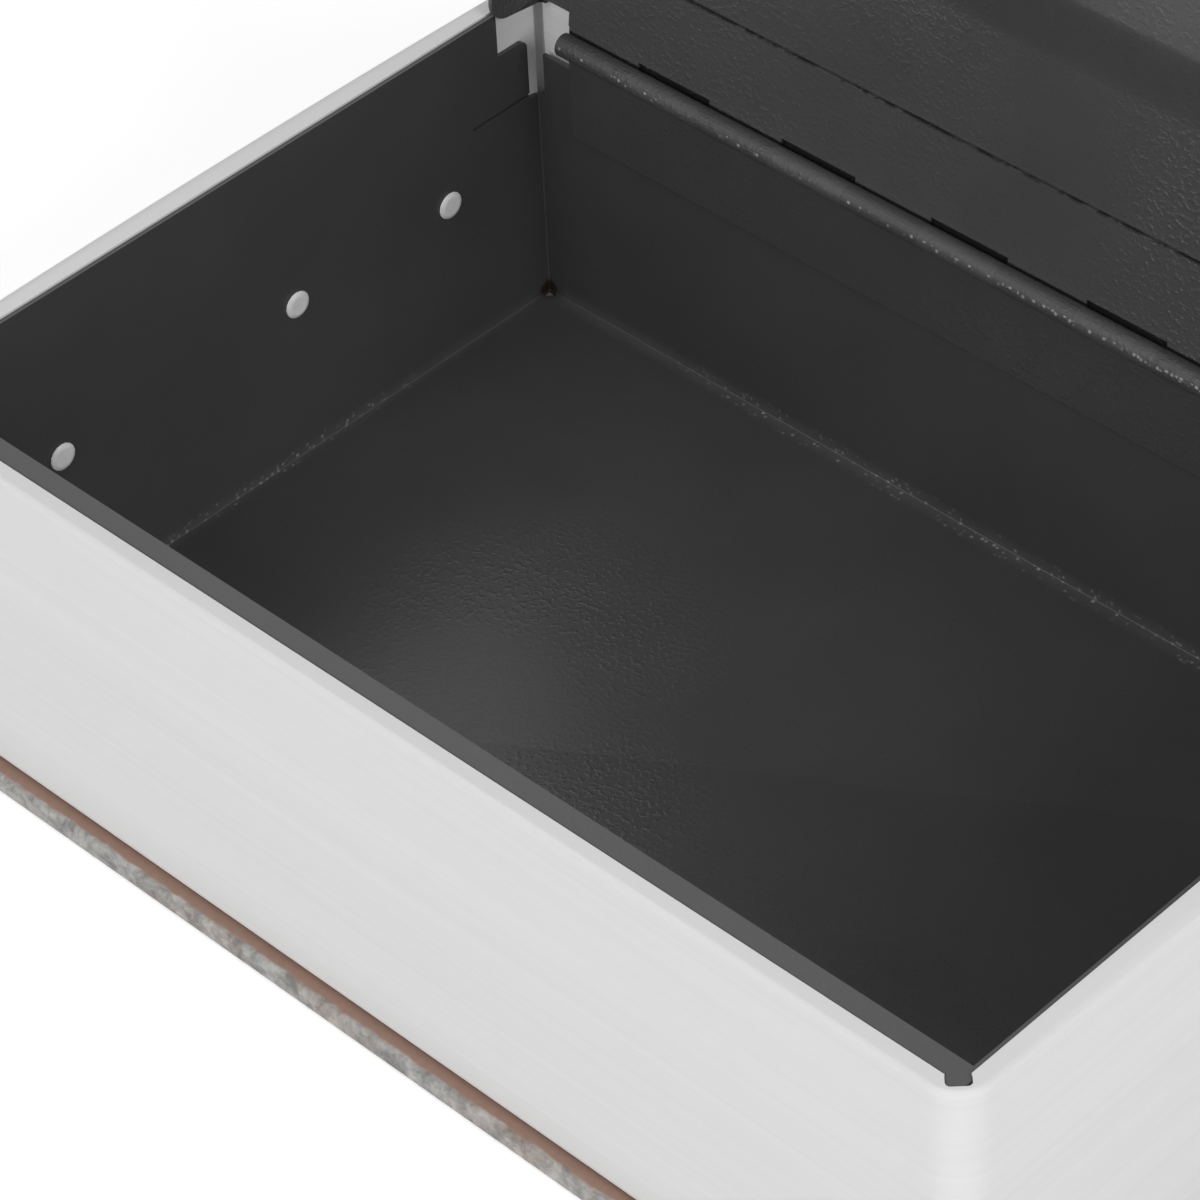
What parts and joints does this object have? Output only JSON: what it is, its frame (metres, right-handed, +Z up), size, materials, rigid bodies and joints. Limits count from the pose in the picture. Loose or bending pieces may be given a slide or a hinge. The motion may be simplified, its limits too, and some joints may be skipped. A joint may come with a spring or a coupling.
{
  "type": "book diversion safe",
  "caption": "Steel lock box with a hinged lid inside a hardback book, with white plastic page edges, shown open.",
  "frame": {"origin": "on the underside of the back cover, below the middle of the steel tray", "axes": "+Z up from the back cover, +Y from the fore edge to the spine, +X along the spine"},
  "size_m": [0.1796, 0.2309, 0.1549],
  "materials": {
    "coated_steel": "dark grey powder coat with a fine orange peel, satin",
    "page_plastic": "white moulded plastic with fine lines like page edges",
    "pin_plastic": "white moulded plastic, slightly glossy",
    "cover_print": "printed paper over board, grey outside and brown where it is turned in",
    "cover_board": "plain greyboard",
    "endpaper": "plain brown paper",
    "lock_metal": "plated die casting, polished",
    "plug_metal": "machined brass",
    "plated_steel": "zinc-plated steel"
  },
  "bodies": {
    "book": {"back_board": "cover_board", "back_cover_sheet": "cover_print", "back_endpaper": "endpaper", "spine_board": "cover_board", "front_joint": "cover_print", "page_block": "page_plastic", "tray": "coated_steel", "tray_hinge_leaf": "coated_steel", "hinge_pin": "plated_steel", "strike_bracket": "coated_steel", "page_pin_left_1": "pin_plastic", "page_pin_left_2": "pin_plastic", "page_pin_left_3": "pin_plastic", "page_pin_right_1": "pin_plastic", "page_pin_right_2": "pin_plastic", "page_pin_right_3": "pin_plastic", "page_pin_fore_1": "pin_plastic", "page_pin_fore_2": "pin_plastic", "page_pin_fore_3": "pin_plastic", "page_pin_fore_4": "pin_plastic"},
    "lid": {"lid": "coated_steel", "lid_hinge_leaf": "coated_steel", "lock_housing": "lock_metal", "lock_washer": "plated_steel", "lock_nut": "plated_steel"},
    "lock_core": {"lock_plug": "plug_metal", "lock_cam": "plated_steel", "cam_washer": "plated_steel", "cam_screw": "plated_steel"},
    "front_cover": {"front_board": "cover_board", "front_cover_sheet": "cover_print", "front_endpaper": "endpaper"}
  },
  "joints": [
    {"name": "lid_hinge", "type": "hinge", "parent": "book", "child": "lid", "pos_m": [0, 0.05325, 0.04975], "axis": [1, 0, 0], "range_deg": [0, 97]},
    {"name": "cover_hinge", "type": "hinge", "parent": "book", "child": "front_cover", "pos_m": [0, 0.0618, 0.0578], "axis": [1, 0, 0], "range_deg": [0, 207.95], "deforming": ["front_joint"]},
    {"name": "lock_turn", "type": "hinge", "parent": "lid", "child": "lock_core", "pos_m": [0, 0.06351, 0.13413], "axis": [0, -0.9925, 0.1219], "range_deg": [0, 90]}
  ],
  "couplings": [
    {"joint": "cover_hinge", "follows": "lid_hinge", "ratio": 2.1438}
  ]
}
